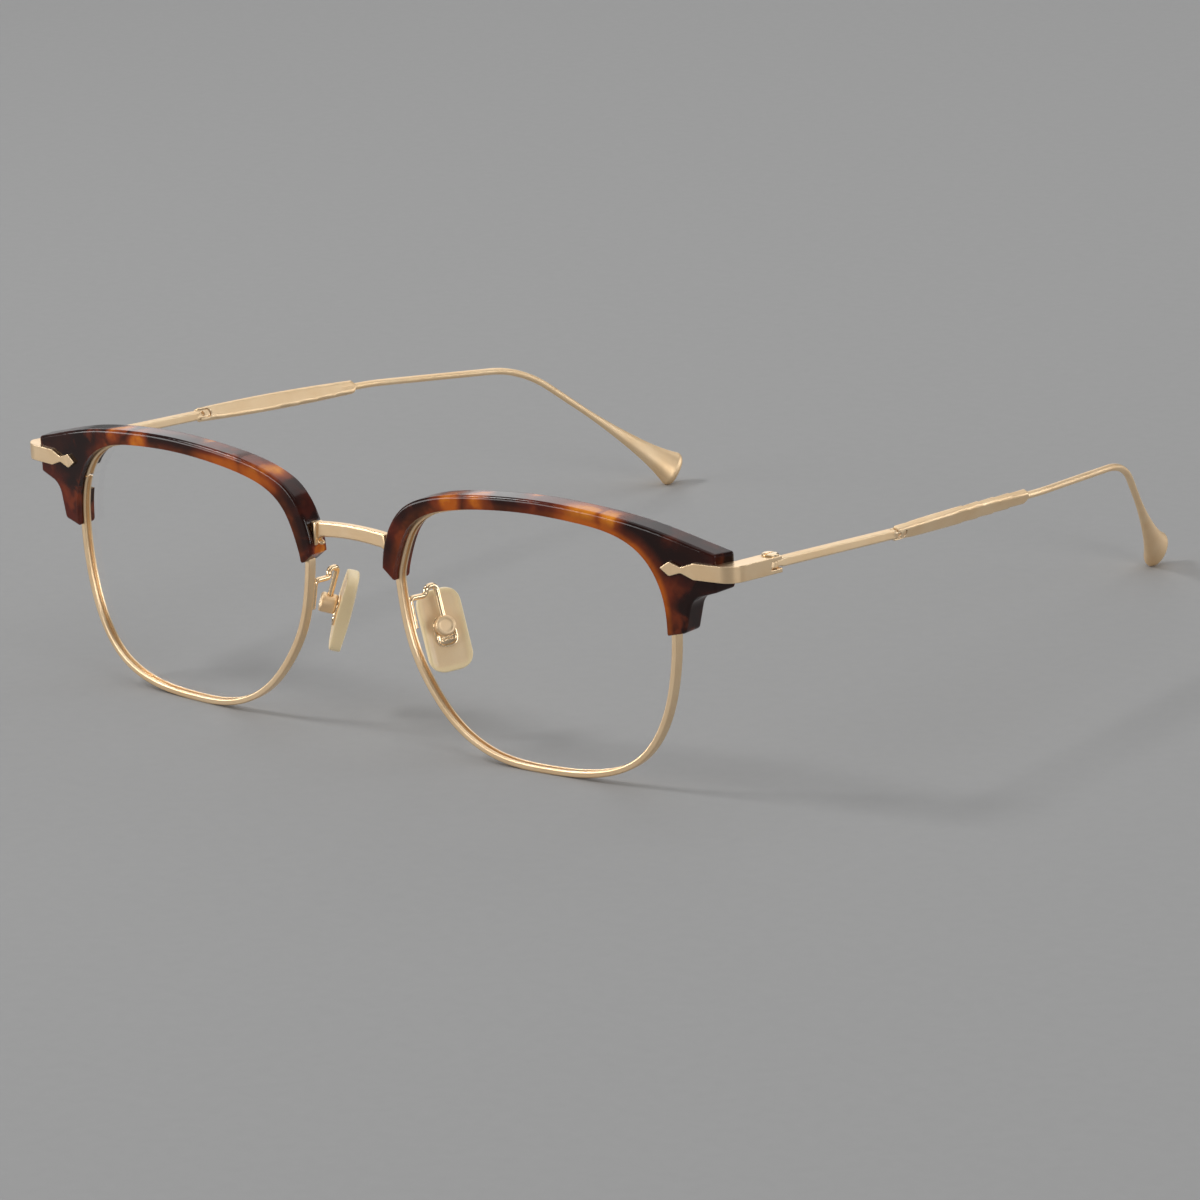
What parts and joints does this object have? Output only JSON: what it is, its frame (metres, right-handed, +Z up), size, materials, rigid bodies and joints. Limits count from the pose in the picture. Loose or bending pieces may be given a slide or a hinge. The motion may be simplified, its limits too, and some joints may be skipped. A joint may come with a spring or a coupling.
{
  "type": "browline eyeglasses",
  "caption": "Browline glasses with acetate brows on thin metal rims, bar bridge, folding wire temples with paddle tips and swivelling nose pads.",
  "frame": {"origin": "centre of the footprint on the table the glasses stand on", "axes": "+X to the right of someone facing the front, -Y out of the front of the lenses, +Z up"},
  "size_m": [0.1446, 0.145, 0.043],
  "materials": {
    "satin_gold": "fine brushed satin champagne gold plating",
    "polished_gold": "polished champagne gold plating",
    "tortoise_acetate": "polished acetate, dark brown with amber and red brown blotches",
    "clear_lens": "clear polished lens",
    "pad_silicone": "translucent pale cream silicone"
  },
  "bodies": {
    "front": {"bridge": "satin_gold", "rim_left": "satin_gold", "rim_right": "satin_gold", "rim_screw_left": "polished_gold", "rim_screw_right": "polished_gold", "lens_left": "clear_lens", "lens_right": "clear_lens", "brow_left": "tortoise_acetate", "brow_right": "tortoise_acetate", "strap_rivets_left": "polished_gold", "strap_rivets_right": "polished_gold", "end_piece_left": "satin_gold", "end_piece_right": "satin_gold", "hinge_screw_left": "polished_gold", "hinge_screw_right": "polished_gold", "pad_arm_left": "polished_gold", "pad_arm_right": "polished_gold"},
    "temple_left": {"temple_stick_left": "satin_gold", "temple_sleeve_left": "satin_gold", "temple_wire_left": "satin_gold"},
    "pad_left": {"pad_can_left": "polished_gold", "pad_plate_left": "polished_gold", "nose_pad_left": "pad_silicone"},
    "temple_right": {"temple_stick_right": "satin_gold", "temple_sleeve_right": "satin_gold", "temple_wire_right": "satin_gold"},
    "pad_right": {"pad_can_right": "polished_gold", "pad_plate_right": "polished_gold", "nose_pad_right": "pad_silicone"}
  },
  "joints": [
    {"name": "temple_fold_left", "type": "hinge", "parent": "front", "child": "temple_left", "pos_m": [-0.0706, -0.05789, 0.03476], "axis": [0, -0.0854, -0.9963], "range_deg": [0, 77]},
    {"name": "temple_fold_right", "type": "hinge", "parent": "front", "child": "temple_right", "pos_m": [0.0706, -0.05789, 0.03476], "axis": [0, 0.0854, 0.9963], "range_deg": [0, 83]},
    {"name": "pad_swivel_left", "type": "hinge", "parent": "front", "child": "pad_left", "pos_m": [-0.01195, -0.06391, 0.01795], "axis": [0.316, 0.081, 0.9453], "range_deg": [-10, 10]},
    {"name": "pad_swivel_right", "type": "hinge", "parent": "front", "child": "pad_right", "pos_m": [0.01195, -0.06391, 0.01795], "axis": [-0.316, 0.081, 0.9453], "range_deg": [-10, 10]}
  ]
}
